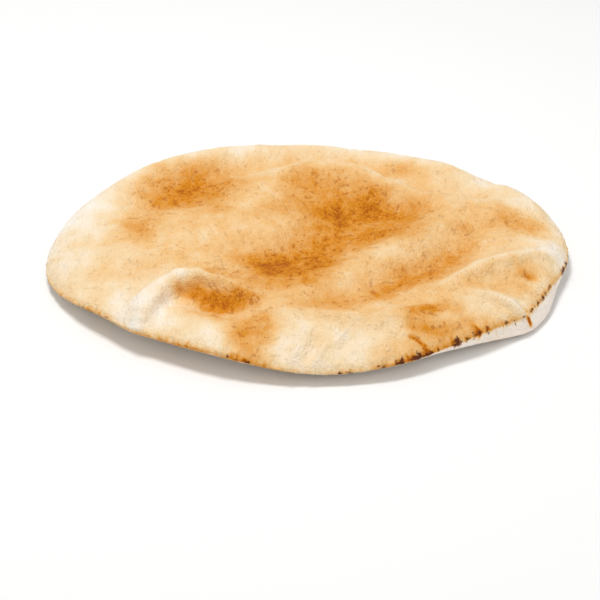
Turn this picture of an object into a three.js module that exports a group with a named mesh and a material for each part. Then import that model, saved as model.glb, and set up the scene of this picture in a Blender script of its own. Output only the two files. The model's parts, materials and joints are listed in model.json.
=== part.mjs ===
// A round pocket bread (pita), as it lies on a table after baking and cooling.
//
// Two thin layers of bread meet at a seam that runs all round. The upper layer has puffed up and
// sunk back, so it is a low pillow crossed by soft ridges and hollows. The lower layer lies flat on
// the table in the middle and rises to the seam, which has curled up at the front left and at the
// front right. At the front right the lower layer stands up as a low wall and bulges out past the
// seam. The pocket between the layers is shut, so the bread is one solid.
//
// Millimetres, +Z up. The origin is under the middle of the bread, on the table. The front is -Y.
// Angles are in degrees, anticlockwise from +X as seen from above.

import * as THREE from "three";
import { mergeVertices } from "three/addons/utils/BufferGeometryUtils.js";

// ---- Driving dimensions ----

const seamRadius = 99; // from the middle of the bread to its seam
const seamHeight = 3.2; // of the seam above the table where it lies low
const crownHeight = 8.3; // from the seam up to the level of the upper face
const crownRun = 27; // how far in from the seam the upper face stops rising
const foldRun = 8; // how far in from the seam the folds have their full height
const curlRun = 34; // how far in from the seam a curl has died away
const crownLostToCurl = 0.55; // share of a curl's lift that the crown above it loses
const wallRun = 5; // how far in from the seam the steep side of the lower layer ends
const flattened = 0.25; // how much of the lower layer's height the table presses flat
const coneSides = 6; // of each of the two cones that the skin starts as
const rings = 30; // steps in the skin from the middle to the seam, on each face
const seamCrowding = 0.2; // how much closer the steps lie near the seam, where the bread bends most
const crestStep = 1; // length of the straight steps that each fold's curve is followed in
const onSeam = 1e-6; // a point of the skin this near its edge lies on it

// How the seam departs from its circle and from its height: each swell is centred at an angle,
// spreads that many degrees each way, and moves the seam by its amount.
const outlineSwells = [
  { at: -165, spread: 12, amount: 0.9 },
  { at: -131, spread: 5, amount: 1.4 },
  { at: -128, spread: 22, amount: -3.2 },
  { at: -88, spread: 20, amount: 1 },
  { at: -62, spread: 6, amount: -1.3 },
  { at: -50, spread: 15, amount: -2.6 },
  { at: -38.5, spread: 3.5, amount: 0.9 },
  { at: -21, spread: 13, amount: -3.3 },
  { at: 26, spread: 12, amount: 1.4 },
  { at: 118, spread: 24, amount: 1.6 },
  { at: 155, spread: 12, amount: 0.5 },
];
const seamLifts = [
  { at: -139, spread: 17, amount: 4.8 },
  { at: -111, spread: 17, amount: 4.9 },
  { at: -68, spread: 14, amount: 2.4 },
  { at: -49, spread: 11, amount: 4 },
  { at: -27, spread: 14, amount: 4.6 },
  { at: 8, spread: 20, amount: 1.8 },
  { at: 100, spread: 40, amount: 1.2 },
  { at: 172, spread: 18, amount: -0.6 },
];

// Where the side of the lower layer stands up from the table to the seam, instead of hiding under
// it: the share of the seam's height that the steep side takes, and how far the side bulges out.
const wallShareLow = 0.3;
const wallShares = [
  { at: -35, spread: 24, amount: 0.62 },
  { at: 90, spread: 60, amount: 0.25 },
];
const wallBulges = [{ at: -32.5, spread: 18, amount: 6.1 }];

// The folds of the upper face. Each is a crest or a hollow that follows a smooth curve, and is given
// by its width to the left and to the right of the way it runs, and then by the curve's points:
// [x, y, height above the level of the upper face]. A hollow's heights are negative.
const folds = {
  backRidgeRise: [7, 12, [-36, 43, 0.4], [-17, 51, 3.8], [4, 59, 5.8], [18, 55, 4.4]],
  backRidgeFall: [7, 9, [16, 56, 1.6], [24, 45, 4.4], [51, 31, 3.4], [86, 18, 2.4], [96, 4, 0.6]],
  leftPuff: [16, 15, [-64, -6, 1.2], [-40, 1, 3], [-14, 12, 2.4]],
  puffShoulder: [9, 10, [-58, 18, 1.4], [-26, 34, 2.2], [-12, 26, 1.4]],
  centralRidge: [9, 9, [-5, -51, 2], [11, -41, 3.6], [31, -18, 4], [50, 13, 3]],
  leftCrest: [6, 8, [-88, -22, 0.6], [-68, -18, 1.8], [-44, -26, 1.4], [-20, -40, 1]],
  arch: [5, 5, [-62, -74, 4], [-57, -54, 5], [-44, -42, 5.4], [-27, -50, 3.8], [-14, -61, 1.8]],
  frontCrest: [6, 9, [-12, -64, 1.2], [14, -74, 3], [34, -71, 2.8], [54, -60, 2.2]],
  rightRidge: [5.5, 10, [30, -65, 1.6], [47, -52, 4], [63, -34, 4.6], [79, -20, 3.4], [95, -9, 1.4]],
  cornerRidge: [4, 4, [56, -57, 1], [67, -57, 2.8], [78, -64, 3]],
  rightCrossRidge: [6, 5, [70, -8, 1], [92, -6, 1.4]],
  backLeftBrim: [9, 9, [6, 88, 2], [-22, 84, 3.4], [-48, 72, 5.4], [-68, 54, 5], [-86, 22, 1]],
  backRightBrim: [8, 8, [88, 30, 3], [77, 43, 3.2], [68, 53, -0.8], [57, 65, 2.6], [22, 85, 1]],
  backLeftHollow: [12, 13, [-64, 34, -2], [-50, 51, -4.8], [-34, 62, -3.2]],
  leftDimple: [7, 7, [-70, 13, -1.4], [-62, 7, -1.8]],
  middleHollow: [13, 13, [-22, -19, -2.6], [-4, -14, -5], [10, 10, -4], [30, 26, -5], [46, 20, -2.4]],
  archHollow: [8, 8, [-46, -54, -2.6], [-35, -58, -4.4], [-24, -62, -2.4]],
  frontLeftHollow: [8, 8, [-22, -72, -1], [-19, -82, -1.6]],
  rightValley: [9, 8, [4, -57, -1.4], [32, -36, -2.6], [52, -16, -3.6], [61, 6, -3]],
  rightEndHollow: [9, 9, [68, 14, -2.4], [86, 7, -2.8]],
  backHollow: [8, 8, [-26, 68, -1.8], [-6, 77, -2.2], [30, 66, -3.4]],
  backRightHollow: [7, 7, [46, 48, -2.2], [70, 38, -1.8]],
  frontRightDimple: [6, 6, [37, -63, -2.4], [47, -61, -2.4]],
  cornerHollow: [7, 7, [68, -43, -1], [80, -37, -2]],
  leftSlopeHollow: [9, 9, [-74, -46, -2], [-68, -36, -1.4]],
};

// Shallow hollows under the lower layer, where it has lifted off the table between its contacts.
const soleHollows = {
  backLeft: [17, 17, [-52, 34, 1.5], [-38, 52, 1.1]],
  right: [14, 14, [48, -4, 1.3], [60, 14, 1.2]],
  front: [12, 12, [-20, -46, 1.1], [2, -54, 0.9]],
};

// ---- Shape ----

// The sum of the swells at an angle, in millimetres or as a share.
function around(angle, swells) {
  return swells.reduce((sum, { at, spread, amount }) => {
    const turn = THREE.MathUtils.euclideanModulo(angle - at + 180, 360) - 180;
    return sum + amount * Math.exp(-((turn / spread) ** 2));
  }, 0);
}

// Follows each fold's curve once, as a row of points with the way it runs at each.
function followed([left, right, ...crest]) {
  const curve = new THREE.CatmullRomCurve3(crest.map((point) => new THREE.Vector3(...point)));
  const steps = Math.ceil(curve.getLength() / crestStep);
  const points = curve.getSpacedPoints(steps);
  const ways = points.map((_, i) => curve.getTangentAt(i / steps).setZ(0).normalize());
  return { left, right, points, ways };
}

// What the folds add to the height at x, y: each gives the height of the nearest point of its curve,
// less the further away that is.
function foldedHeight(x, y, followedFolds) {
  return followedFolds.reduce((sum, { left, right, points, ways }) => {
    let nearest = Infinity;
    let at = 0;
    points.forEach((point, i) => {
      const distance = Math.hypot(point.x - x, point.y - y);
      if (distance < nearest) {
        nearest = distance;
        at = i;
      }
    });
    const sideways = ways[at].x * (y - points[at].y) - ways[at].y * (x - points[at].x);
    const leftness = 0.5 + (0.5 * sideways) / Math.max(nearest, crestStep);
    const width = THREE.MathUtils.lerp(right, left, leftness);
    return sum + points[at].z * Math.exp(-((nearest / width) ** 2));
  }, 0);
}

// Rises from 0 to 1 as a quarter of an ellipse does, upright at first.
function roundedRise(share) {
  const rest = 1 - Math.min(share, 1);
  return Math.sqrt(1 - rest * rest);
}

const faceFolds = Object.values(folds).map(followed);
const soleFolds = Object.values(soleHollows).map(followed);

// The height of the upper face at a point that lies `inwards` millimetres from the seam.
function upperHeight(x, y, angle, inwards) {
  const lift = around(angle, seamLifts);
  const settled = THREE.MathUtils.smoothstep(inwards, 0, curlRun);
  const crown = crownHeight - crownLostToCurl * lift * (1 - settled);
  const folding = THREE.MathUtils.smoothstep(inwards, 0, foldRun) * foldedHeight(x, y, faceFolds);
  return seamHeight + lift * (1 - settled) + crown * roundedRise(inwards / crownRun) + folding;
}

// The height of the lower face there: steep under the seam, then gently down to the table.
function lowerHeight(x, y, angle, inwards) {
  const seam = seamHeight + around(angle, seamLifts);
  const wall = seam * (wallShareLow + around(angle, wallShares));
  const settled = THREE.MathUtils.smoothstep(inwards, 0, curlRun);
  const under = seam - wall * roundedRise(inwards / wallRun) - (seam - wall) * settled;
  return Math.max(0, under + settled * (foldedHeight(x, y, soleFolds) - flattened));
}

// How far the lower face moves out there, where its side bulges past the seam.
function lowerBulge(angle, inwards) {
  const settled = THREE.MathUtils.smoothstep(inwards, wallRun, curlRun);
  return around(angle, wallBulges) * roundedRise(inwards / wallRun) * (1 - settled);
}

// A closed skin with an edge all round its middle: two cones of six flat sides, base to base, each
// side divided in `rings` steps. It comes rounded to a ball, on which each point keeps its direction.
function dividedSkin() {
  const corners = Array.from({ length: coneSides }, (_, i) => {
    const turn = (i * 2 * Math.PI) / coneSides;
    return [Math.cos(turn), Math.sin(turn), 0];
  });
  const [top, bottom] = [coneSides, coneSides + 1];
  const sides = corners.flatMap((_, i) => {
    const next = (i + 1) % coneSides;
    return [top, i, next, bottom, next, i];
  });
  const tips = [0, 0, 1, 0, 0, -1];
  const skin = new THREE.PolyhedronGeometry([...corners.flat(), ...tips], sides, 1, rings - 1);
  skin.deleteAttribute("normal");
  skin.deleteAttribute("uv");
  return mergeVertices(skin);
}

// Where a point of the skin lies on the two cones: how far it is from the tip towards the edge, from
// 0 to 1, and its angle, which is even along each side.
function placeOnCones(px, py, pz) {
  const sideAngle = 360 / coneSides;
  const halfSide = THREE.MathUtils.degToRad(sideAngle / 2);
  const direction = THREE.MathUtils.radToDeg(Math.atan2(py, px));
  const side = Math.floor(direction / sideAngle) + 0.5;
  const offMiddle = THREE.MathUtils.degToRad(direction - side * sideAngle);
  const reach = (Math.hypot(px, py) * Math.cos(offMiddle)) / Math.cos(halfSide);
  const evenly = Math.tan(offMiddle) / Math.tan(halfSide) / 2;
  return { step: reach / (reach + Math.abs(pz)), angle: (side + evenly) * sideAngle };
}

// The skin with each of its points moved to its place on the bread.
function breadGeometry() {
  const geometry = dividedSkin();
  const position = geometry.getAttribute("position");
  for (let i = 0; i < position.count; i++) {
    const [px, py, pz] = [position.getX(i), position.getY(i), position.getZ(i)];
    const { step, angle } = placeOnCones(px, py, pz);
    const outwards = step * (1 + seamCrowding) - seamCrowding * step ** 4;
    const reach = seamRadius + around(angle, outlineSwells);
    const inwards = reach * (1 - outwards);
    const isUpper = pz > -onSeam;
    const fromMiddle = reach - inwards + (isUpper ? 0 : lowerBulge(angle, inwards));
    const turn = THREE.MathUtils.degToRad(angle);
    const x = fromMiddle * Math.cos(turn);
    const y = fromMiddle * Math.sin(turn);
    position.setXYZ(i, x, y, (isUpper ? upperHeight : lowerHeight)(x, y, angle, inwards));
  }
  geometry.computeBoundingBox();
  const middle = geometry.boundingBox.getCenter(new THREE.Vector3());
  return geometry.translate(-middle.x, -middle.y, 0);
}

// ---- Material ----

function bakedCrust() {
  return new THREE.MeshStandardMaterial({ color: "#e8bd82", roughness: 0.85, metalness: 0 });
}

// ---- Model ----

const pita = new THREE.Mesh(breadGeometry(), bakedCrust());
pita.name = "pita";

const bread = new THREE.Group();
bread.add(pita);

export default bread;
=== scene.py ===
"""A round pocket bread (pita), with its folds, its seam and its baked crust, on a plain pale floor.

The bread starts as a copy of its solid. It is smoothed, gets its fine relief, and is marked where the
oven toasted and charred it. Some marks also carry painted highlights on crests and painted shade along the
front left edge. The crust's material reads those marks. Lengths are in metres, and the
places of marks are in millimetres from the middle of the bread, seen from above, with -Y in front.
Angles round the edge are in degrees, anticlockwise from +X.
"""

import json
import math
import random

import bpy
import numpy as np
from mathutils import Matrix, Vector, noise

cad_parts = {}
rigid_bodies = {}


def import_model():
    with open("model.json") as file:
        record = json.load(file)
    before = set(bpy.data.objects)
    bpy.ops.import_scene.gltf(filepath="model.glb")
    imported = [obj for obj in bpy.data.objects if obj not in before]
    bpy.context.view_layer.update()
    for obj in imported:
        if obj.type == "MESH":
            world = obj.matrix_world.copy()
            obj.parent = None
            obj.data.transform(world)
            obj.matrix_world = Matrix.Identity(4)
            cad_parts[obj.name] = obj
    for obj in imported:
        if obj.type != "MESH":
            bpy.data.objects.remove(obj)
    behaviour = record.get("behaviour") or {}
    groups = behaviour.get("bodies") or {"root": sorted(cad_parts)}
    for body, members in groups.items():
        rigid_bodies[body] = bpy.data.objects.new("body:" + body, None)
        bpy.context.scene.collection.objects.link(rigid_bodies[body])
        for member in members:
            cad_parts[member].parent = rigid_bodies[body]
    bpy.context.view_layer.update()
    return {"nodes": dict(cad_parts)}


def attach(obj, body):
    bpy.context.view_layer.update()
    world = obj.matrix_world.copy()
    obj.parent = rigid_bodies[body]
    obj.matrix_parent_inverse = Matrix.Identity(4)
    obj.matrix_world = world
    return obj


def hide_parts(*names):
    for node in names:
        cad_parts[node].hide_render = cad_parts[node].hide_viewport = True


bl_info = {
    "name": "Pita Bread",
    "version": (1, 0, 0),
    "blender": (4, 5, 0),
    "location": "3D View > Sidebar > Pita",
    "description": "Models a round pocket bread with its folds, its seam and its baked crust",
    "category": "Add Mesh",
}

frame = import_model()
MM = 0.001
SKIN_STEPS = 30  # vertices of the solid's skin, from the middle of the upper layer out to the seam
MERGE_WITHIN = 0.001 * MM
EDGE_RADIUS = 99  # in millimetres, like every place and width in the tables below


def linear(hex_colour):
    """The linear red, green and blue of an sRGB hex colour."""
    parts = [int(hex_colour[i : i + 2], 16) / 255 for i in (1, 3, 5)]
    return tuple(p / 12.92 if p <= 0.04045 else ((p + 0.055) / 1.055) ** 2.4 for p in parts)


# ---- Browning ----
# A mark is (width, [(x, y, strength), ...]): it follows the line through its points and fades out over
# its width to each side.

TOASTED = {
    "back left hollow": (12, [(-57, 52, 0.42), (-47, 60, 0.62), (-37, 64, 0.48)]),
    "back left hollow's core": (
        8,
        [(-57, 44, 0.58), (-53, 49.5, 0.84), (-45, 48, 0.82), (-34, 49, 0.55)],
    ),
    "back left hollow's near side": (
        9,
        [(-63, 37, 0.35), (-56, 35, 0.55), (-44, 34, 0.5), (-35, 37, 0.5)],
    ),
    "back left hollow's foot": (8, [(-60, 19, 0.25), (-50, 22, 0.12), (-38, 20, 0.25)]),
    "left dimple": (6.5, [(-76, 15, 0.45), (-67, 9, 0.7), (-61, 0, 0.3)]),
    "behind the back ridge": (10, [(8, 53, 0.4), (-1, 44, 0.5), (0, 32, 0.25), (0, 14, 0.2)]),
    "middle hollow, left": (10, [(-10, 18, 0.25), (-11, 8, 0.15)]),
    "middle hollow, back": (12, [(15, 36, 0.52), (24, 30, 0.82), (33, 23, 0.83), (41, 25, 0.42)]),
    "middle hollow, right": (11, [(16, -4, 0.5), (30, 0, 0.74), (37, -3, 0.45)]),
    "middle hollow": (10, [(13, 21, 0.78), (11, 6, 0.66), (-1, -9, 0.55)]),
    "middle hollow, front left": (5, [(-25, -18, 0.4), (-17, -18, 0.4)]),
    "middle hollow, front": (8, [(-16, -18, 0.66), (-9, -17, 0.75), (0, -14, 0.56)]),
    "middle hollow, near side": (7.5, [(-12, -34, 0.74), (-4, -34, 0.78), (6, -25, 0.5)]),
    "middle hollow's floor": (7, [(-13, -25.5, 0.5), (-4, -25.5, 0.55), (5, -20, 0.35)]),
    "front of the middle hollow": (8, [(-7, -45, 0.45), (1, -45, 0.42), (10, -38, 0.3)]),
    "arch hollow's left end": (2.4, [(-46, -49.8, 0.5), (-42, -49.8, 0.66)]),
    "arch hollow": (3.3, [(-39, -50.5, 0.72), (-35, -52, 0.8), (-29, -54.4, 0.66), (-18, -58.3, 0.55)]),
    "arch hollow's front": (3.2, [(-37, -55, 0.6), (-31, -58.5, 0.6), (-25, -59.5, 0.45)]),
    "behind the arch": (9, [(-34, -37, 0.35), (-27, -35, 0.3), (-21, -47, 0.3)]),
    "right valley, front": (7, [(-4, -61, 0.2), (2, -59, 0.25), (14, -58, 0.45), (25, -51, 0.4)]),
    "right valley, middle": (8, [(26, -46, 0.38), (34, -43, 0.65), (43, -34, 0.62)]),
    "right valley, far side": (6, [(24, -36, 0.15), (33, -31, 0.22)]),
    "right valley, back": (7, [(46, -28, 0.3), (53, -17, 0.58), (60, -6, 0.38), (62, 12, 0.25)]),
    "below the arch": (6.5, [(-17, -69, 0.35), (-20, -75, 0.52), (-23, -84, 0.62), (-21, -93, 0.55)]),
    "below the arch, left": (4.5, [(-33, -68, 0.35), (-27, -77, 0.15), (-26, -84, 0.2)]),
    "below the arch, right": (3.5, [(-14.5, -71.5, 0.45), (-14, -79, 0.55), (-15, -86, 0.42)]),
    "front right dimple": (5, [(38, -70, 0.65), (43.5, -68.5, 0.8), (48, -67, 0.48)]),
    "front right edge": (
        4,
        [(37, -79.5, 0.55), (45, -78.5, 0.7), (50, -77, 0.4), (58, -73, 0.35), (64, -69, 0.2)],
    ),
    "below the corner fold": (4, [(60, -66, 0.15), (68, -64, 0.15), (74, -62, 0.1)]),
    "edge crack": (0.9, [(34.5, -83.5, 0.8), (37, -84, 1), (38.5, -86.5, 1), (40, -90, 1)]),
    "front right streak, left": (0.8, [(49.5, -79, 0.3), (50.5, -83, 0.8)]),
    "front right streak, middle": (0.8, [(56.5, -73.5, 0.4), (58.5, -77, 0.8)]),
    "front right streak, right": (0.8, [(60.5, -71.5, 0.3), (62, -75, 0.7)]),
    "front right rim": (5, [(29, -83, 0.1), (28, -91, 0.25), (36, -88, 0.4), (46, -84, 0.3)]),
    "right lobe": (9, [(48, -52, 0.12), (62, -47, 0.13), (74, -38, 0.08), (84, -31, 0.18)]),
    "right lobe's front": (5, [(69, -53, 0.15), (78, -47, 0.25)]),
    "right lobe's spot": (3.6, [(76, -36, 0.35), (80, -35.5, 0.55)]),
    "right end hollow": (6, [(70, 17, 0.15), (80, 14, 0.45), (86, 8, 0.42), (91, 1, 0.3)]),
    "left puff": (12, [(-52, -12, 0.08), (-38, -22, 0.1)]),
    "back edge's spot": (8, [(22, 68, 0.12), (40, 64, 0.18)]),
}
# Pale marks lighten the crust where the dough stayed unbrowned. Those on the arch's crests, the right ridge's
# crest and the corner fold are partly painted highlights. The one on the arch's inner side is painted light
# over its shade.
PALE_AND_PAINTED_LIGHT = {
    "left edge": (16, [(-83, -20, 0.55), (-95, -6, 0.2), (-89, 12, 0.95)]),
    "back left edge": (15, [(-88, 30, 0.8), (-82, 50, 0.95), (-67, 70, 1), (-48, 86, 0.6)]),
    "back left shoulder": (9, [(-37, 79, 0.5), (-26, 81, 0.4)]),
    "right of the back ridge": (5, [(60, 34, 0.3), (76, 29, 0.45), (88, 21, 0.5)]),
    "back edge": (10, [(-30, 96, 0.4), (0, 96, 0.6), (40, 89, 0.8), (66, 70, 0.7), (84, 44, 0.6)]),
    "behind the back edge's spot": (4, [(30, 77, 0.2), (43, 73, 0.45), (52, 67, 0.45)]),
    "back ridge's crest": (
        6,
        [(-32, 53, 0.15), (-18, 60, 0.35), (-4, 62, 0.5), (18, 57, 0.4), (31, 48, 0.5), (46, 38, 0.3)],
    ),
    "left of the arch": (9, [(-71, -38, 0.25), (-66, -46, 0.45), (-61, -57, 0.6), (-62, -74, 0.45)]),
    "behind the arch's leg": (5, [(-60, -42, 0.45), (-55, -36, 0.6), (-47, -38, 0.3)]),
    # The arch's leg: paler dough on its crest, partly a painted highlight.
    "arch's leg": (3.7, [(-61, -77, 1), (-57, -62, 1), (-53, -49, 1), (-48, -44, 1), (-41, -43, 0.5)]),
    # The arch's right crest: a thin pale line, partly a painted highlight.
    "arch's right crest": (
        1.3,
        [(-42.5, -44.3, 0.6), (-38, -44.8, 0.65), (-33, -46.5, 0.25), (-28, -49.6, 0.1)],
    ),
    # Painted light over the shade on the inner side of the arch's leg.
    "arch's inner side": (2.6, [(-53, -64, 0.5), (-51, -58, 0.8), (-49.5, -54, 0.5)]),
    "right of the arch's leg": (6, [(-53, -63, 0.5), (-48, -74, 0.45), (-40, -78, 0.4), (-31, -80, 0.3)]),
    "middle ridge": (6, [(5, -50, 0.3), (22, -35, 0.28), (38, -15, 0.12), (50, 2, 0.3)]),
    "front slope, left": (8, [(-8, -73, 0.3), (-5, -81, 0.55), (-2, -89, 0.6)]),
    "front slope, right": (8, [(8, -84, 0.25), (17, -88, 0.15)]),
    "front left foot": (5, [(-32, -87, 0.45), (-31, -93, 0.4)]),
    # Partly paler dough, partly a painted highlight along the ridge's crest.
    "right ridge's crest": (3, [(48, -50, 0.3), (60, -38, 0.5), (76, -26, 0.55), (90, -16, 0.5)]),
    # Partly unbrowned dough, partly a painted highlight on the fold's crest.
    "corner fold": (1.3, [(58, -57, 0.1), (67, -59, 0.4), (76, -61.5, 0.5)]),
    "right edge": (7, [(84, -6, 0.4), (93, 4, 0.05), (94, -14, 1)]),
}

PALEST = 0.85  # share of the toast that a pale mark of full strength takes away

# Swirls that make the marks ragged: how wide they are, and how far they reach. Blender's noise starts
# from the clock unless it is given a seed.
SWIRLS = [(14, 2), (5, 1.2)]
SWIRL_SEED = 10

# Each layer's own toast: at the edge, what is added further in, and where that starts and ends.
UPPER_LAYER_TOAST = (0.18, 0.18, 4, 26)
LOWER_LAYER_TOAST = (0.04, 0.25, 12, 40)

# What the edge has round some angles is (angle, spread, amount). Its toast fades out between these
# distances from the seam.
EDGE_TOAST = [(-152, 16, 0.1)]
EDGE_TOAST_FADES = (12, 40)
# Brown along the edge. At the front left, round -145 and -110 degrees, it is partly painted shadow: the dark
# line under the rim.
EDGE_BROWN_AND_SHADOW = [
    (-145, 20, 0.4),
    (-110, 24, 0.5),
    (-66, 14, 0.4),
    (-45, 8, 0.3),
    (-22, 10, 0.15),
    (0, 30, 0.25),
    (70, 40, 0.3),
    (150, 30, 0.3),
]
EDGE_CHAR = [
    (-146, 1.0, 0.6),
    (-143.5, 0.8, 0.55),
    (-138, 0.7, 0.5),
    (-106.5, 0.6, 0.65),
    (-104.5, 0.5, 0.7),
    (-102.5, 0.9, 0.8),
    (-84, 0.7, 0.7),
    (-82, 0.9, 0.75),
    (-76.2, 0.7, 0.8),
    (-75, 0.5, 0.7),
    (-72.2, 0.8, 1.0),
    (-71.0, 0.7, 1.0),
    (-69.6, 0.4, 0.8),
    (-68.2, 0.8, 1.0),
    (-67.0, 0.8, 1.05),
    (-65.6, 0.7, 0.9),
    (-64.2, 0.7, 0.95),
    (-62.5, 0.4, 0.75),
    (-58.2, 0.7, 1.0),
    (-57.1, 0.7, 1.1),
    (-55.3, 0.5, 0.85),
    (-53.3, 0.6, 1.05),
    (-51.8, 0.5, 0.95),
    (-49.4, 0.7, 0.95),
    (-44, 0.6, 0.9),
    (-41.7, 0.5, 0.95),
    (-39, 0.5, 0.8),
    (-35.5, 0.8, 0.7),
    (-33.8, 0.8, 0.75),
    (-32, 0.9, 0.7),
    (-30, 0.9, 0.78),
    (-28.6, 0.7, 0.75),
    (-27, 0.8, 0.72),
    (-25, 0.8, 0.75),
    (-23, 0.7, 0.7),
    (-20, 0.7, 0.7),
    (-13, 1.0, 0.9),
    (-11, 1.2, 1.1),
    (-8, 1.4, 1.15),
    (-4, 0.9, 0.7),
    (8, 0.9, 0.6),
    (14, 0.9, 0.6),
    (27, 0.8, 0.5),
]

# Each charred bead has a wider and fainter brown glow: how many times its spread, and its amount.
GLOW = (2, 0.25)

# Below the seam, the lower layer is darkened at the front left, partly toast and partly painted shade under
# the rim that hangs over it, and has a brown line at the corner. Both fade out between these distances from
# it.
BELOW_SEAM_TOAST_AND_SHADE = [(-120, 38, 0.4), (-37.7, 0.5, 1.3)]
BELOW_SEAM_FADES = (3, 6)

# ---- Fine relief ----
# Each is (height in millimetres, width, lines), with a line's points as a mark's. A negative height
# carves.

RELIEF = {
    "arch's crest": (
        2.3,
        3.0,
        [
            [
                (-60, -77, 0.6),
                (-57, -68, 0.9),
                (-54.5, -60, 1),
                (-51.5, -51, 1),
                (-47, -45, 0.9),
                (-39, -44, 0.6),
            ]
        ],
    ),
    "arch's right crest": (
        1.3,
        1.7,
        [[(-40, -43.5, 0.5), (-33, -46, 1), (-27, -50, 1), (-18, -58, 0.7)]],
    ),
    "arch's inner side": (
        -1.5,
        2.4,
        [[(-54, -76, 0.6), (-51.5, -68, 1), (-49.5, -60, 0.9), (-48, -55, 0.3)]],
    ),
    "arch's outer side": (-1.9, 4.2, [[(-68, -72, 0.6), (-65, -62, 1), (-62, -52, 1), (-59, -42, 0.8)]]),
    "back left hollow's rim": (-1.5, 9, [[(-62, 29, 0.8), (-48, 28, 1), (-37, 33, 0.8)]]),
    "back left hollow's floor": (1.4, 9, [[(-58, 47, 0.7), (-46, 49, 1), (-34, 52, 1), (-25, 56, 0.7)]]),
    "middle hollow's floor": (1.1, 9, [[(15, 26, 0.5), (27, 23, 1), (40, 21, 0.8)]]),
    "back ridge's crest": (
        1.0,
        2.4,
        [[(10, 60, 0.4), (20, 55, 1), (34, 42, 1), (52, 31, 0.8), (80, 20, 0.4)]],
    ),
    "front crest": (
        1.3,
        2.2,
        [[(-9, -67, 0.4), (-3, -71, 1), (8, -74, 1), (18, -76, 0.8), (34, -75, 0.4)]],
    ),
    "right ridge's crest": (
        1.3,
        2.2,
        [[(48, -55, 0.3), (58, -43, 1), (70, -32, 1), (80, -25, 0.9), (92, -16, 0.5)]],
    ),
    "cross ridge's crest": (1.4, 2.2, [[(66, -5, 0.4), (76, -9, 1), (86, -12, 1), (95, -9, 0.7)]]),
    "behind the cross ridge": (-0.8, 3.0, [[(68, 1, 0.4), (78, -1, 1), (88, -3, 0.8)]]),
    "corner fold": (1.1, 1.7, [[(56, -57, 0.4), (63, -58, 1), (69, -60, 1), (76, -61.5, 1)]]),
    "corner crease": (-1.0, 0.9, [[(75.5, -58.5, 0.6), (77, -59, 1), (79, -60, 1)]]),
    "front wrinkles": (
        1.6,
        1.7,
        [
            [(-7, -99, 0.6), (-5, -95, 1), (-2.5, -90, 1), (-0.5, -84, 1), (2, -78, 0.3)],
            [(0, -99, 0.5), (3, -96, 0.9), (5, -90, 1), (8, -88.5, 0.8), (12, -84, 0.8), (16, -77, 0.3)],
            [(-30, -93, 0.6), (-28, -88, 0.6)],
            [(24, -95, 0.4), (26, -90, 0.5)],
        ],
    ),
    "between the wrinkles": (
        -1.2,
        1.8,
        [
            [(-10, -97, 0.6), (-8, -92, 1), (-6.5, -84, 0.5)],
            [(-2, -98, 0.6), (1, -93, 1), (4, -86, 0.6)],
            [(10, -95, 0.4), (12, -90, 0.6), (16, -84, 0.4)],
        ],
    ),
    "edge crack": (-1.1, 0.9, [[(34, -84, 0.6), (37, -84, 1), (38.5, -86.5, 1), (40, -90, 0.8)]]),
}

# Pleats run in from the seam, this far apart in degrees. Each has a length, a strength at the seam and a
# lean in degrees, drawn between two limits, and a strength at its inner end.
PLEAT_SPACING = (1.6, 4.5)
PLEAT_LENGTH = (4, 11)
PLEAT_STRENGTH = (0.2, 1)
PLEAT_LEAN = (-2, 2)
PLEAT_END_STRENGTH = 0.1
PLEAT_SEED = 5
PLEAT_WIDTH = 0.8
PLEAT_DEPTH = 0.9

# The lip along the seam is crimped in lumps.
LIP_WIDTH = 0.9
LIP_HEIGHT = 0.9
LIP_LUMPS = 2.2

# Nearer to the seam than this, only the lip is raised.
SEAM_ITSELF = 0.2

# How far in from the seam each relief starts, and where it is in full.
BLISTERS_START = (3, 14)
PIMPLES_START = (0.5, 5)
PLEATS_START = (0, 1.5)

# Vertex group weights: a vertex lies wholly in a group from the first, and one below the second is left out.
FULL_WEIGHT = 0.99
FAINTEST_WEIGHT = 0.01

# ---- Patterns of the crust ----
# Each is (width, detail, roughness). Real flour is finer, and its grain is drawn this coarse to show.

PATTERNS = {
    "clouds": (12, 2, 0.55),
    "blotches": (3.4, 3, 0.55),
    "grain": (0.9, 2, 0.7),
    "breaks in the seam's line": (2.2, 2, 0.55),
    "patches of streaks": (9, 1, 0.55),
    "clusters of freckles": (7, 2, 0.55),
    "freckles": (1.9, 1, 0.55),
    "scorched beads": (1.3, 2, 0.55),
    "flour": (0.7, 2, 0.55),
    "tiny blisters": (3.0, 3, 0.55),
}
PATTERN_STRETCH = (1, 0.65, 1)  # makes the lumps longer from front to back
SEAM_LINE_WIDTH = 1.43
STREAK_LENGTH = 2.5
STREAK_WIDTH = 1.6
STREAK_SHRINK = 0.25  # of the pattern inwards, which draws its lumps out to streaks


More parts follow.
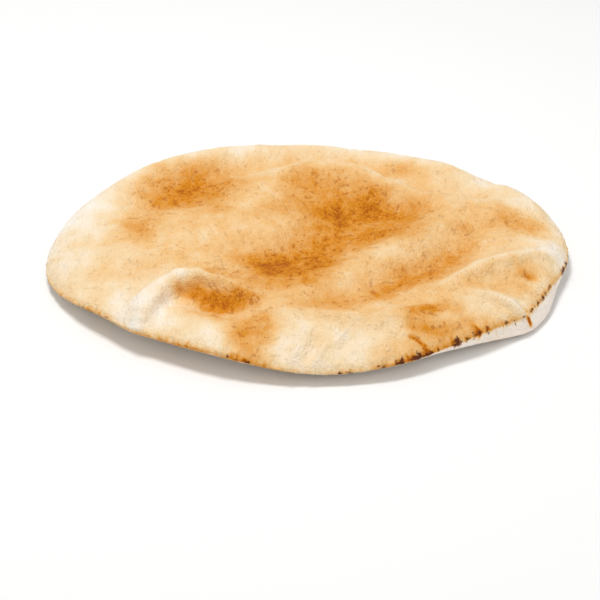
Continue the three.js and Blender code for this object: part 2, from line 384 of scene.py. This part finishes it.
class BreadSettings(bpy.types.PropertyGroup):
    """What a user would change about the bread"""

    levels: bpy.props.IntProperty(
        name="Smoothing levels",
        description="Subdivisions of the solid's faces",
        default=2,
        min=1,
        max=2,
    )
    seam_crease: bpy.props.FloatProperty(
        name="Seam crease",
        description="How sharp the seam stays when smoothed",
        default=0.75,
        subtype="FACTOR",
    )
    blister_size: bpy.props.FloatProperty(
        name="Blister size",
        description="Width of the low blisters",
        default=9 * MM,
        unit="LENGTH",
    )
    blister_height: bpy.props.FloatProperty(
        name="Blister height",
        description="From dip to top",
        default=1.5 * MM,
        unit="LENGTH",
    )
    pimple_size: bpy.props.FloatProperty(
        name="Pimple size",
        description="Width of the small pimples",
        default=2.6 * MM,
        unit="LENGTH",
    )
    pimple_height: bpy.props.FloatProperty(
        name="Pimple height",
        description="From dip to top",
        default=0.45 * MM,
        unit="LENGTH",
    )
    pale_colour: bpy.props.FloatVectorProperty(
        name="Unbrowned crust",
        description="Where the dough stayed cool",
        default=linear("#FCF2E4"),
        subtype="COLOR",
    )
    cream_colour: bpy.props.FloatVectorProperty(
        name="Cream crust",
        description="Where it has just begun to brown",
        default=linear("#F5DAB0"),
        subtype="COLOR",
    )
    tan_colour: bpy.props.FloatVectorProperty(
        name="Baked crust",
        description="Over most of the upper face",
        default=linear("#F0C284"),
        subtype="COLOR",
    )
    golden_colour: bpy.props.FloatVectorProperty(
        name="Golden crust",
        description="Round the toasted spots",
        default=linear("#E5A75A"),
        subtype="COLOR",
    )
    brown_colour: bpy.props.FloatVectorProperty(
        name="Toasted crust",
        description="Where the oven toasted it",
        default=linear("#DA8A18"),
        subtype="COLOR",
    )
    dark_colour: bpy.props.FloatVectorProperty(
        name="Darkest toast",
        description="The darkest freckles",
        default=linear("#AE5A04"),
        subtype="COLOR",
    )
    speck_colour: bpy.props.FloatVectorProperty(
        name="Specks",
        description="Faint specks where the crust is pale",
        default=linear("#A8824C"),
        subtype="COLOR",
    )
    lower_colour: bpy.props.FloatVectorProperty(
        name="Lower layer",
        description="Unbrowned, floury side of the lower layer",
        default=linear("#FBEEE2"),
        subtype="COLOR",
    )
    char_colour: bpy.props.FloatVectorProperty(
        name="Char",
        description="Scorched beads on the seam",
        default=linear("#643218"),
        subtype="COLOR",
    )


class StageSettings(bpy.types.PropertyGroup):
    """What a user would change about the stage"""

    camera_height: bpy.props.FloatProperty(
        name="Camera height",
        description="Above the table's level",
        default=math.radians(26),
        subtype="ANGLE",
    )
    camera_distance: bpy.props.FloatProperty(
        name="Camera distance",
        description="From the point it looks at",
        default=0.8,
        unit="LENGTH",
    )
    camera_target: bpy.props.FloatVectorProperty(
        name="Camera target",
        description="The point that the camera looks at",
        default=(-3.05 * MM, -6.22 * MM, -13.18 * MM),
        subtype="TRANSLATION",
    )
    lens: bpy.props.FloatProperty(
        name="Lens",
        description="Focal length in millimetres, on a 36 mm sensor",
        default=125.76,
    )
    floor_colour: bpy.props.FloatVectorProperty(
        name="Floor",
        description="Plain pale floor",
        default=linear("#F7F7F6"),
        subtype="COLOR",
    )
    surround: bpy.props.FloatProperty(
        name="Surround",
        description="Strength of the white surround",
        default=0.55,
    )
    key_power: bpy.props.FloatProperty(
        name="Key light",
        description="In watts",
        default=5.8,
        unit="POWER",
    )
    fill_power: bpy.props.FloatProperty(
        name="Fill light",
        description="In watts",
        default=2.2,
        unit="POWER",
    )


# ---- Modelling ----


def select_only(piece):
    """Makes piece the only selected object, and the active one."""
    if bpy.context.mode != "OBJECT":
        bpy.ops.object.mode_set(mode="OBJECT")
    bpy.ops.object.select_all(action="DESELECT")
    piece.select_set(True)
    bpy.context.view_layer.objects.active = piece


def copied_solid(node, name):
    """A new piece with a copy of a CAD node's mesh, its loose triangles merged into one skin."""
    piece = bpy.data.objects.new(name, frame["nodes"][node].data.copy())
    bpy.context.scene.collection.objects.link(piece)
    piece.data.materials.clear()
    select_only(piece)
    if piece.data.has_custom_normals:
        bpy.ops.mesh.customdata_custom_splitnormals_clear()
    bpy.ops.object.mode_set(mode="EDIT")
    bpy.ops.mesh.select_all(action="SELECT")
    bpy.ops.mesh.remove_doubles(threshold=MERGE_WITHIN)
    bpy.ops.object.mode_set(mode="OBJECT")
    return piece


def select_upper_layer(piece):
    """Selects, in edit mode, the upper layer from its middle out to the seam."""
    bpy.ops.object.mode_set(mode="EDIT")
    bpy.ops.mesh.select_mode(type="VERT")
    bpy.ops.mesh.select_all(action="DESELECT")
    bpy.ops.object.mode_set(mode="OBJECT")
    upper = [v for v in piece.data.vertices if v.normal.z > 0]
    middle = min(upper, key=lambda v: v.co.xy.length)
    middle.select = True
    bpy.ops.object.mode_set(mode="EDIT")
    for _ in range(SKIN_STEPS):
        bpy.ops.mesh.select_more()


def keep_group(piece, name):
    """Puts what is selected in edit mode in a new vertex group."""
    piece.vertex_groups.new(name=name)
    piece.vertex_groups.active = piece.vertex_groups[name]
    bpy.ops.object.vertex_group_assign()


def smooth_skin(piece, settings):
    """Marks the upper layer and its seam, keeps the seam sharp, turns the skin to quads and divides it."""
    select_upper_layer(piece)
    keep_group(piece, "upper")
    bpy.ops.mesh.select_mode(type="FACE")
    bpy.ops.mesh.region_to_loop()
    keep_group(piece, "seam")
    bpy.ops.transform.edge_crease(value=settings.seam_crease)
    bpy.ops.mesh.select_all(action="SELECT")
    bpy.ops.mesh.tris_convert_to_quads()
    bpy.ops.object.mode_set(mode="OBJECT")
    smooth = piece.modifiers.new("smooth", "SUBSURF")
    smooth.levels = settings.levels
    smooth.render_levels = settings.levels
    bpy.ops.object.modifier_apply(modifier=smooth.name)


def places(piece):
    """The piece's vertices, in millimetres, one row each."""
    flat = np.empty(len(piece.data.vertices) * 3)
    piece.data.vertices.foreach_get("co", flat)
    return flat.reshape(-1, 3) / MM


def within(piece, name):
    """Which of the piece's vertices lie wholly in a group."""
    index = piece.vertex_groups[name].index
    vertices = piece.data.vertices
    return np.array([any(g.group == index and g.weight > FULL_WEIGHT for g in v.groups) for v in vertices])


def distance_to(points, targets):
    """How far each point is from the nearest target, in as many dimensions as they have."""
    nearest = np.full(len(points), np.inf)
    for target in targets:
        np.minimum(nearest, ((points - target) ** 2).sum(1), out=nearest)
    return np.sqrt(nearest)


def fade(value, start, end):
    """Rises smoothly from 0 at start to 1 at end."""
    share = np.clip((value - start) / (end - start), 0, 1)
    return share * share * (3 - 2 * share)


def stroke(points, width, line):
    """The strength of a mark at each point, from the nearest place on the mark's line."""
    strongest = np.zeros(len(points))
    for (x0, y0, strength0), (x1, y1, strength1) in zip(line, line[1:]):
        start, way = np.array([x0, y0]), np.array([x1 - x0, y1 - y0])
        share = np.clip(((points[:, :2] - start) @ way) / (way @ way), 0, 1)
        away = np.hypot(*(points[:, :2] - start - share[:, None] * way).T)
        here = (strength0 + share * (strength1 - strength0)) * np.exp(-((away / width) ** 2))
        np.maximum(strongest, here, out=strongest)
    return strongest


def strokes(points, marks):
    """The strength of several marks together, from 0 to 1."""
    bare = np.ones(len(points))
    for width, line in marks:
        bare *= 1 - stroke(points, width, line)
    return 1 - bare


def round_edge(points, amounts):
    """What the edge has at the angle of each point."""
    angle = np.degrees(np.arctan2(points[:, 1], points[:, 0]))
    total = np.zeros(len(points))
    for at, spread, amount in amounts:
        turn = (angle - at + 180) % 360 - 180
        total += amount * np.exp(-((turn / spread) ** 2))
    return total


def weigh(piece, name, weights):
    """Makes a vertex group with these weights."""
    group = piece.vertex_groups.new(name=name)
    for i in np.flatnonzero(weights > FAINTEST_WEIGHT):
        group.add([int(i)], float(weights[i]), "REPLACE")


def raise_relief(piece, group, height, pattern_size=None):
    """Moves a vertex group out by height, evenly or in a pattern of lumps of that size."""
    relief = piece.modifiers.new(group, "DISPLACE")
    relief.vertex_group = group
    relief.strength = height
    relief.mid_level = 0
    if pattern_size:
        lumps = bpy.data.textures.new(group, "CLOUDS")
        lumps.noise_scale = pattern_size
        lumps.noise_depth = 1
        relief.texture = lumps
        relief.texture_coords = "LOCAL"
        relief.mid_level = 0.5
    select_only(piece)
    bpy.ops.object.modifier_apply(modifier=relief.name)


def pleats():
    """Short pleats that run in from the seam all round, as lines for a mark."""
    chance = random.Random(PLEAT_SEED)
    lines = []
    angle = -180.0
    while angle < 180:
        turn = math.radians(angle)
        lean = math.radians(chance.uniform(*PLEAT_LEAN))
        inner = EDGE_RADIUS - chance.uniform(*PLEAT_LENGTH)
        strength = chance.uniform(*PLEAT_STRENGTH)
        ends = ((EDGE_RADIUS, turn, strength), (inner, turn + lean, PLEAT_END_STRENGTH))
        lines.append([(r * math.cos(a), r * math.sin(a), s) for r, a, s in ends])
        angle += chance.uniform(*PLEAT_SPACING)
    return lines


def add_relief(piece, settings):
    """Blisters, pimples, wrinkles and pleats of the upper layer, and the crimped lip of its seam."""
    points = places(piece)
    seam = points[within(piece, "seam")]
    inwards = distance_to(points[:, :2], seam[:, :2])
    from_seam = distance_to(points, seam)
    upper = within(piece, "upper") & (from_seam > SEAM_ITSELF)
    weigh(piece, "blisters", upper * fade(inwards, *BLISTERS_START))
    weigh(piece, "pimples", upper * fade(inwards, *PIMPLES_START))
    for name, (_, width, lines) in RELIEF.items():
        weigh(piece, name, upper * strokes(points, [(width, line) for line in lines]))
    pleated = strokes(points, [(PLEAT_WIDTH, line) for line in pleats()])
    weigh(piece, "pleats", upper * fade(inwards, *PLEATS_START) * pleated)
    weigh(piece, "lip", np.exp(-((from_seam / LIP_WIDTH) ** 2)))
    raise_relief(piece, "blisters", settings.blister_height, settings.blister_size)
    raise_relief(piece, "pimples", settings.pimple_height, settings.pimple_size)
    for name, (height, _, _) in RELIEF.items():
        raise_relief(piece, name, height * MM)
    raise_relief(piece, "pleats", -PLEAT_DEPTH * MM)
    raise_relief(piece, "lip", LIP_HEIGHT * MM, LIP_LUMPS * MM)


# ---- Crust ----


def put_attribute(piece, name, values):
    """Stores one number for each vertex, for the material to read."""
    attribute = piece.data.attributes.new(name, "FLOAT", "POINT")
    attribute.data.foreach_set("value", values.astype(np.float32))


def wandered(points, size, reach):
    """The points moved by up to about reach, in swirls of this size."""
    swirls = [noise.noise_vector(Vector(p) / size) for p in points]
    return points + reach * np.array(swirls)


def layer_toast(inwards, at_edge, added, start, end):
    """A layer's own toast, by how far in from the seam it is."""
    return at_edge + added * fade(inwards, start, end)


def mark_crust(piece):
    """Marks how toasted, browned, charred and low each part of the crust is. The toast also carries painted
    highlights on some crests, and the brown along the edge carries painted shadow at the front left.
    """
    points = places(piece)
    seam = points[within(piece, "seam")]
    inwards = distance_to(points[:, :2], seam[:, :2])
    from_seam = distance_to(points, seam)
    lower = ~within(piece, "upper")
    noise.seed_set(SWIRL_SEED)
    ragged = points
    for size, reach in SWIRLS:
        ragged = wandered(ragged, size, reach)
    toast = layer_toast(inwards, *UPPER_LAYER_TOAST)
    toast += round_edge(points, EDGE_TOAST) * (1 - fade(inwards, *EDGE_TOAST_FADES))
    toast = 1 - (1 - toast) * (1 - strokes(ragged, TOASTED.values()))
    # Pale marks: unbrowned dough, with painted highlights on some crests and painted light on the arch's
    # inner side.
    toast *= 1 - PALEST * strokes(ragged, PALE_AND_PAINTED_LIGHT.values())
    underneath = layer_toast(inwards, *LOWER_LAYER_TOAST)
    # The lower layer's painted shade under the front left rim, and the brown line at the corner.
    underneath += round_edge(points, BELOW_SEAM_TOAST_AND_SHADE) * (1 - fade(from_seam, *BELOW_SEAM_FADES))
    put_attribute(piece, "toast", np.where(lower, underneath, toast))
    wider, fainter = GLOW
    glow = [(at, wider * spread, fainter * amount) for at, spread, amount in EDGE_CHAR]
    # Brown along the edge, partly painted shadow at the front left, with a glow round each charred bead.
    put_attribute(piece, "edge_brown_and_shadow", np.clip(round_edge(points, EDGE_BROWN_AND_SHADOW + glow), 0, 1))
    put_attribute(piece, "edge_char", round_edge(points, EDGE_CHAR))
    put_attribute(piece, "from_seam", from_seam)
    put_attribute(piece, "lower_layer", lower.astype(float))


def add_node(tree, kind, inputs=(), **settings):
    """Adds a node, sets its settings, and links or sets its inputs, which are given in order or by name. A
    node that is given as an input is linked by its first output."""
    node = tree.nodes.new(kind)
    for name, value in settings.items():
        setattr(node, name, value)
    for socket, value in inputs.items() if isinstance(inputs, dict) else enumerate(inputs):
        source = value.outputs[0] if isinstance(value, bpy.types.Node) else value
        if isinstance(source, bpy.types.NodeSocket):
            tree.links.new(source, node.inputs[socket])
        else:
            node.inputs[socket].default_value = source
    return node


def read_marks(tree):
    """The marks that the bread carries, by name."""
    names = ("toast", "edge_brown_and_shadow", "edge_char", "from_seam", "lower_layer")
    return {name: add_node(tree, "ShaderNodeAttribute", attribute_name=name).outputs["Fac"] for name in names}


def draw_patterns(tree, place):
    """The crust's patterns by name, each centred on 0."""
    stretched = add_node(tree, "ShaderNodeMapping", {"Vector": place, "Scale": PATTERN_STRETCH})
    patterns = {}
    for name, (width, detail, roughness) in PATTERNS.items():
        inputs = {"Vector": stretched, "Scale": 1 / (width * MM), "Detail": detail, "Roughness": roughness}
        lumps = add_node(tree, "ShaderNodeTexNoise", inputs)
        patterns[name] = add_node(tree, "ShaderNodeMath", (lumps, 0.5), operation="SUBTRACT")
    return patterns


def draw_streaks(tree, place, from_seam):
    """Streaks that run in from the seam: lumps round a circle as wide as the bread, drawn out inwards."""
    way = add_node(tree, "ShaderNodeVectorMath", (place,), operation="NORMALIZE")
    x, y, _ = add_node(tree, "ShaderNodeSeparateXYZ", (way,)).outputs
    spot = add_node(tree, "ShaderNodeCombineXYZ", (x, y, from_seam))
    scale = (EDGE_RADIUS, EDGE_RADIUS, STREAK_SHRINK)
    drawn = add_node(tree, "ShaderNodeVectorMath", (spot, scale), operation="MULTIPLY")
    return add_node(tree, "ShaderNodeTexNoise", {"Vector": drawn, "Scale": 1 / STREAK_WIDTH, "Detail": 1})


def browned(tree, place, marks, patterns):
    """How brown the crust is, from 0 where it is pale to 1 where it is darkest."""
    toast, from_seam = marks["toast"], marks["from_seam"]

    # A broken line on the seam, which fades out over its width.
    squared = add_node(tree, "ShaderNodeMath", (from_seam, 2.0), operation="POWER")
    falling = add_node(tree, "ShaderNodeMath", (squared, -1 / SEAM_LINE_WIDTH**2), operation="MULTIPLY")
    near_seam = add_node(tree, "ShaderNodeMath", (falling,), operation="EXPONENT")
    breaks = patterns["breaks in the seam's line"]
    broken = add_node(tree, "ShaderNodeMath", (breaks, 2.0, 0.55), operation="MULTIPLY_ADD")
    line = add_node(tree, "ShaderNodeMath", (near_seam, broken), operation="MULTIPLY")

    # Streaks in patches, which fade out over their length.
    fading = add_node(tree, "ShaderNodeMath", (from_seam, -1 / STREAK_LENGTH), operation="MULTIPLY")
    reach = add_node(tree, "ShaderNodeMath", (fading,), operation="EXPONENT")
    patches = add_node(
        tree,
        "ShaderNodeMath",
        (patterns["patches of streaks"], 4.0, 0.32),
        operation="MULTIPLY_ADD",
        use_clamp=True,
    )
    streaks = add_node(
        tree,
        "ShaderNodeMath",
        (draw_streaks(tree, place, from_seam), 6.0, -3.12),
        operation="MULTIPLY_ADD",
        use_clamp=True,
    )
    patchy = add_node(tree, "ShaderNodeMath", (patches, streaks), operation="MULTIPLY")

    # Both show as far as the edge is brown, which at the front left is partly painted shadow, and add to the
    # toast.
    edge = add_node(tree, "ShaderNodeMath", (reach, patchy, line), operation="MULTIPLY_ADD")
    inputs = (edge, marks["edge_brown_and_shadow"], toast)
    browning = add_node(tree, "ShaderNodeMath", inputs, operation="MULTIPLY_ADD")

    # Clouds over all of the bread, and blotches and grain that get livelier where it is toasted.
    blotchy = add_node(tree, "ShaderNodeMath", (toast, 0.58), operation="MULTIPLY")
    livelier = add_node(tree, "ShaderNodeMath", (toast, 0.832, -0.156), operation="MULTIPLY_ADD")
    grainy = add_node(tree, "ShaderNodeMath", (livelier, 0.026), operation="MAXIMUM")
    for name, strength in (("clouds", 0.5), ("blotches", blotchy), ("grain", grainy)):
        inputs = (patterns[name], strength, browning)
        browning = add_node(tree, "ShaderNodeMath", inputs, operation="MULTIPLY_ADD")
    return browning


def freckled(tree, settings, toast, patterns):
    """Where freckles are, and their colour: thick and dark where the bread is toasted, and few and faint
    elsewhere. They come in clusters."""
    clusters = patterns["clusters of freckles"]
    crowded = add_node(tree, "ShaderNodeMath", (clusters, 1.6, toast), operation="MULTIPLY_ADD")
    lift = add_node(tree, "ShaderNodeMath", (crowded, 0.16, -0.187), operation="MULTIPLY_ADD")
    raised = add_node(tree, "ShaderNodeMath", (patterns["freckles"], lift), operation="ADD")
    spots = add_node(tree, "ShaderNodeMath", (raised, 10.0), operation="MULTIPLY", use_clamp=True)
    strength = add_node(tree, "ShaderNodeMath", (toast, 0.65, 0.05), operation="MULTIPLY_ADD")
    shown = add_node(tree, "ShaderNodeMath", (spots, strength), operation="MULTIPLY")
    inputs = (toast, 2.5, -0.5)
    dark = add_node(tree, "ShaderNodeMath", inputs, operation="MULTIPLY_ADD", use_clamp=True)
    inputs = {"Factor": dark, "A": (*settings.speck_colour, 1), "B": (*settings.dark_colour, 1)}
    return shown, add_node(tree, "ShaderNodeMix", inputs, data_type="RGBA").outputs["Result"]


def scorched(tree, marks, patterns):
    """Where the seam is scorched, in beads."""
    inputs = (patterns["scorched beads"], 2.2, marks["edge_char"])
    beads = add_node(tree, "ShaderNodeMath", inputs, operation="MULTIPLY_ADD")
    sunk = add_node(tree, "ShaderNodeMath", (marks["from_seam"], -0.38, -0.3), operation="MULTIPLY_ADD")
    near_seam = add_node(tree, "ShaderNodeMath", (beads, sunk), operation="ADD")
    return add_node(tree, "ShaderNodeMath", (near_seam, 2.0), operation="MULTIPLY", use_clamp=True)


def coloured(tree, settings, place, marks, patterns):
    """The crust's colour by how brown it is, with the flour, freckles and scorched beads over it."""
    browning = browned(tree, place, marks, patterns)
    stops = (
        settings.pale_colour,
        settings.cream_colour,
        settings.tan_colour,
        settings.golden_colour,
        settings.brown_colour,
        settings.dark_colour,
    )
    ramp = add_node(tree, "ShaderNodeValToRGB", (browning,))
    while len(ramp.color_ramp.elements) < len(stops):
        ramp.color_ramp.elements.new(0.5)
    for i, (element, colour) in enumerate(zip(ramp.color_ramp.elements, stops)):
        element.position = i / (len(stops) - 1)
        element.color = (*colour, 1)

    # The lower layer is floury where it isn't browned.
    inputs = (browning, -2.0, 1.0)
    unbrowned = add_node(tree, "ShaderNodeMath", inputs, operation="MULTIPLY_ADD", use_clamp=True)
    floury = add_node(tree, "ShaderNodeMath", (marks["lower_layer"], unbrowned), operation="MULTIPLY")

    layers = (
        (floury, (*settings.lower_colour, 1)),
        freckled(tree, settings, marks["toast"], patterns),
        (scorched(tree, marks, patterns), (*settings.char_colour, 1)),
    )
    colour = ramp
    for shown, above in layers:
        inputs = {"Factor": shown, "A": colour, "B": above}
        colour = add_node(tree, "ShaderNodeMix", inputs, data_type="RGBA").outputs["Result"]
    return colour


def baked_flour_crust(settings):
    """Baked wheat dough, dusted with flour: matt and dry, so it shows soft shade and no clear gloss. It
    browns from cream through tan to toasted brown, in freckles about two millimetres wide."""
    material = bpy.data.materials.new("baked_flour_crust")
    material.use_nodes = True
    tree = material.node_tree
    tree.nodes.clear()
    place = add_node(tree, "ShaderNodeTexCoord").outputs["Object"]
    patterns = draw_patterns(tree, place)
    inputs = (patterns["flour"], 0.35, patterns["tiny blisters"])
    height = add_node(tree, "ShaderNodeMath", inputs, operation="MULTIPLY_ADD")
    bump = add_node(tree, "ShaderNodeBump", {"Height": height, "Strength": 1.0, "Distance": 1.5 * MM})
    shader = add_node(
        tree,
        "ShaderNodeBsdfPrincipled",
        {
            "Base Color": coloured(tree, settings, place, read_marks(tree), patterns),
            "Roughness": 0.72,
            "IOR": 1.45,
            "Specular IOR Level": 0.15,
            "Subsurface Weight": 0.05,
            "Subsurface Radius": (1.0, 0.6, 0.35),
            "Subsurface Scale": 1.2 * MM,
            "Normal": bump,
        },
    )
    add_node(tree, "ShaderNodeOutputMaterial", {"Surface": shader})
    return material


class PITA_OT_bread(bpy.types.Operator):
    """Model the bread from its solid and give it its baked crust"""

    bl_idname = "pita.bread"
    bl_label = "Pita bread"

    def execute(self, context):
        settings = context.scene.pita_bread
        bread = copied_solid("pita", "pita_bread")
        smooth_skin(bread, settings)
        add_relief(bread, settings)
        mark_crust(bread)
        bread.vertex_groups.clear()
        bread.data.materials.append(baked_flour_crust(settings))
        select_only(bread)
        bpy.ops.object.shade_smooth()
        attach(bread, "root")
        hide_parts("pita")
        return {"FINISHED"}


# ---- Stage ----

FLOOR_WIDTH = 8
FLOOR_ROUGHNESS = 0.9
SENSOR_WIDTH = 36  # in millimetres
KEY_LIGHT = ("key_light", (-0.18, 0.1, 1.0), 0.35)  # its name, place and width
FILL_LIGHT = ("fill_light", (0.7, -0.9, 0.4), 0.9)


def studio_panel(name, place, width, power):
    """A square soft light that faces the bread."""
    bpy.ops.object.light_add(type="AREA", location=place)
    panel = bpy.context.object
    panel.name = name
    panel.data.size = width
    panel.data.energy = power
    panel.rotation_euler = (-panel.location).to_track_quat("-Z", "Y").to_euler()


class PITA_OT_stage(bpy.types.Operator):
    """Add the pale floor, the soft studio light and the camera"""

    bl_idname = "pita.stage"
    bl_label = "Stage"

    def execute(self, context):
        settings = context.scene.pita_stage
        self.add_floor(settings)
        self.add_light(context.scene, settings)
        self.add_camera(context.scene, settings)
        context.scene.view_settings.view_transform = "Standard"
        return {"FINISHED"}

    def add_floor(self, settings):
        """A board painted matt white, which shows a soft shadow and no gleam."""
        bpy.ops.object.select_all(action="DESELECT")
        bpy.ops.mesh.primitive_plane_add(size=FLOOR_WIDTH, location=(0, 0, 0))
        floor = bpy.context.object
        floor.name = "floor"
        material = bpy.data.materials.new("matt_white_board")
        material.use_nodes = True
        shader = material.node_tree.nodes["Principled BSDF"]
        shader.inputs["Base Color"].default_value = (*settings.floor_colour, 1)
        shader.inputs["Roughness"].default_value = FLOOR_ROUGHNESS
        floor.data.materials.append(material)

    def add_light(self, scene, settings):
        """An even white surround, a key almost straight above, and a fill at the front right."""
        world = bpy.data.worlds.new("white_surround")
        world.use_nodes = True
        background = world.node_tree.nodes["Background"]
        background.inputs["Color"].default_value = (1, 1, 1, 1)
        background.inputs["Strength"].default_value = settings.surround
        scene.world = world
        studio_panel(*KEY_LIGHT, settings.key_power)
        studio_panel(*FILL_LIGHT, settings.fill_power)

    def add_camera(self, scene, settings):
        """A camera that looks down on the bread from the front."""
        back = settings.camera_distance * math.cos(settings.camera_height)
        up = settings.camera_distance * math.sin(settings.camera_height)
        x, y, z = settings.camera_target
        turned = (math.pi / 2 - settings.camera_height, 0, 0)
        bpy.ops.object.camera_add(location=(x, y - back, z + up), rotation=turned)
        camera = bpy.context.object
        camera.name = "camera"
        camera.data.sensor_width = SENSOR_WIDTH
        camera.data.lens = settings.lens
        scene.camera = camera


class PITA_PT_panel(bpy.types.Panel):
    """Lists the bread, its stage and their settings"""

    bl_idname = "PITA_PT_panel"
    bl_label = "Pita Bread"
    bl_space_type = "VIEW_3D"
    bl_region_type = "UI"
    bl_category = "Pita"

    def draw(self, context):
        for operator, settings in (
            (PITA_OT_bread, context.scene.pita_bread),
            (PITA_OT_stage, context.scene.pita_stage),
        ):
            self.layout.operator(operator.bl_idname)
            for name in settings.__annotations__:
                self.layout.prop(settings, name)


CLASSES = (BreadSettings, StageSettings, PITA_OT_bread, PITA_OT_stage, PITA_PT_panel)


def register():
    for each in CLASSES:
        bpy.utils.register_class(each)
    bpy.types.Scene.pita_bread = bpy.props.PointerProperty(type=BreadSettings)
    bpy.types.Scene.pita_stage = bpy.props.PointerProperty(type=StageSettings)


def unregister():
    del bpy.types.Scene.pita_stage
    del bpy.types.Scene.pita_bread
    for each in reversed(CLASSES):
        bpy.utils.unregister_class(each)


def main():
    register()
    bpy.ops.pita.bread()
    bpy.ops.pita.stage()


if __name__ == "__main__":
    main()
